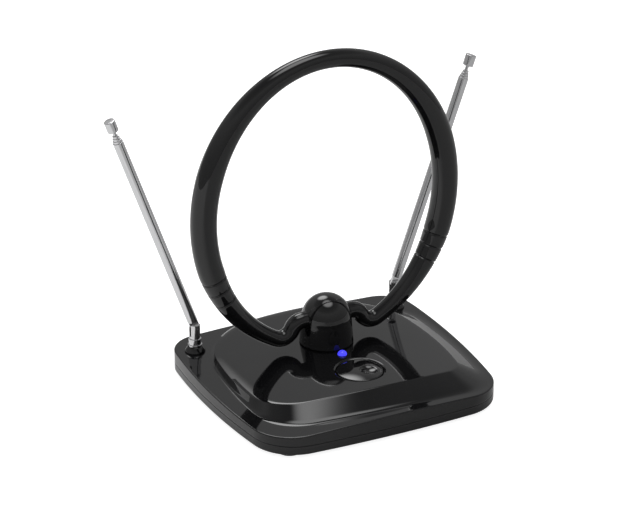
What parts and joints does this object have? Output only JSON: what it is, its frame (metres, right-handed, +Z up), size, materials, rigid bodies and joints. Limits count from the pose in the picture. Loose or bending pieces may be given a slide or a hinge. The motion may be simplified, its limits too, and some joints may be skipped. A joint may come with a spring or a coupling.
{
  "type": "tv antenna",
  "caption": "Indoor tv antenna: low gloss black base with a crowned plateau, domed post with a tilting oval loop, telescopic chrome rods on swivel knuckles, gain dial and blue lamp.",
  "frame": {"origin": "on the ground under the middle of the base", "axes": "+Z up, front towards -Y, +X to the viewer's right seen from the front"},
  "size_m": [0.2714, 0.1674, 0.2342],
  "materials": {
    "gloss_black": "high gloss black moulding",
    "foot_rubber": "matte black rubber",
    "bright_chrome": "polished chrome plate",
    "screw_steel": "zinc plated",
    "board_green": "solder mask",
    "control_grey": "moulded grey",
    "lamp_blue": "tinted clear lens",
    "gland_black": "soft matte black",
    "washer_white": "natural nylon",
    "wire_copper": "bare copper"
  },
  "bodies": {
    "base": {"base_top_cover": "gloss_black", "base_bottom_cover": "gloss_black", "foot_front_left": "foot_rubber", "foot_front_right": "foot_rubber", "foot_rear_left": "foot_rubber", "foot_rear_right": "foot_rubber", "case_screws": "screw_steel", "circuit_board": "board_green", "board_screws": "screw_steel", "gain_control": "control_grey", "power_lamp": "lamp_blue", "cord_gland": "gland_black", "post_front_cover": "gloss_black", "post_rear_shell": "gloss_black", "rod_collar_left": "gloss_black", "rod_collar_right": "gloss_black"},
    "loop": {"loop_tube": "gloss_black", "loop_wire": "wire_copper", "pivot_washer_left": "washer_white", "pivot_washer_right": "washer_white"},
    "dial": {"gain_dial": "gloss_black", "gain_shaft": "control_grey"},
    "swivel_left": {"swivel_base_left": "bright_chrome", "swivel_screw_left": "screw_steel", "knuckle_rivet_left": "bright_chrome"},
    "rod_left": {"rod_tongue_left": "bright_chrome", "rod_tube_1_left": "bright_chrome"},
    "section_2_left": {"rod_tube_2_left": "bright_chrome"},
    "section_3_left": {"rod_tube_3_left": "bright_chrome"},
    "section_4_left": {"rod_tube_4_left": "bright_chrome"},
    "tip_left": {"rod_tip_left": "bright_chrome", "tip_cap_left": "bright_chrome"},
    "swivel_right": {"swivel_base_right": "bright_chrome", "swivel_screw_right": "screw_steel", "knuckle_rivet_right": "bright_chrome"},
    "rod_right": {"rod_tongue_right": "bright_chrome", "rod_tube_1_right": "bright_chrome"},
    "section_2_right": {"rod_tube_2_right": "bright_chrome"},
    "section_3_right": {"rod_tube_3_right": "bright_chrome"},
    "section_4_right": {"rod_tube_4_right": "bright_chrome"},
    "tip_right": {"rod_tip_right": "bright_chrome", "tip_cap_right": "bright_chrome"}
  },
  "joints": [
    {"name": "loop_tilt", "type": "hinge", "parent": "base", "child": "loop", "pos_m": [0, 0.0135, 0.047], "axis": [1, 0, 0], "range_deg": [-10, 60]},
    {"name": "dial_turn", "type": "hinge", "parent": "base", "child": "dial", "pos_m": [0, -0.0348, 0.025], "axis": [0, 0, 1], "range_deg": [-140, 140]},
    {"name": "rod_swivel_left", "type": "hinge", "parent": "base", "child": "swivel_left", "pos_m": [-0.0756, 0.0588, 0.03], "axis": [0, 0, 1], "range_deg": [-90, 45]},
    {"name": "rod_tilt_left", "type": "hinge", "parent": "swivel_left", "child": "rod_left", "pos_m": [-0.0756, 0.0588, 0.0355], "axis": [0, 1, 0], "range_deg": [-65.2, 19.8]},
    {"name": "pull_1_left", "type": "slide", "parent": "rod_left", "child": "section_2_left", "axis": [-0.3387, 0, 0.9409], "range_m": [0, 0.115]},
    {"name": "pull_2_left", "type": "slide", "parent": "section_2_left", "child": "section_3_left", "axis": [-0.3387, 0, 0.9409], "range_m": [0, 0.115]},
    {"name": "pull_3_left", "type": "slide", "parent": "section_3_left", "child": "section_4_left", "axis": [-0.3387, 0, 0.9409], "range_m": [0, 0.115]},
    {"name": "pull_4_left", "type": "slide", "parent": "section_4_left", "child": "tip_left", "axis": [-0.3387, 0, 0.9409], "range_m": [0, 0.115]},
    {"name": "rod_swivel_right", "type": "hinge", "parent": "base", "child": "swivel_right", "pos_m": [0.0756, 0.0588, 0.03], "axis": [0, 0, 1], "range_deg": [-45, 90]},
    {"name": "rod_tilt_right", "type": "hinge", "parent": "swivel_right", "child": "rod_right", "pos_m": [0.0756, 0.0588, 0.0355], "axis": [0, 1, 0], "range_deg": [-19.8, 65.2]},
    {"name": "pull_1_right", "type": "slide", "parent": "rod_right", "child": "section_2_right", "axis": [0.3387, 0, 0.9409], "range_m": [0, 0.115]},
    {"name": "pull_2_right", "type": "slide", "parent": "section_2_right", "child": "section_3_right", "axis": [0.3387, 0, 0.9409], "range_m": [0, 0.115]},
    {"name": "pull_3_right", "type": "slide", "parent": "section_3_right", "child": "section_4_right", "axis": [0.3387, 0, 0.9409], "range_m": [0, 0.115]},
    {"name": "pull_4_right", "type": "slide", "parent": "section_4_right", "child": "tip_right", "axis": [0.3387, 0, 0.9409], "range_m": [0, 0.115]}
  ]
}
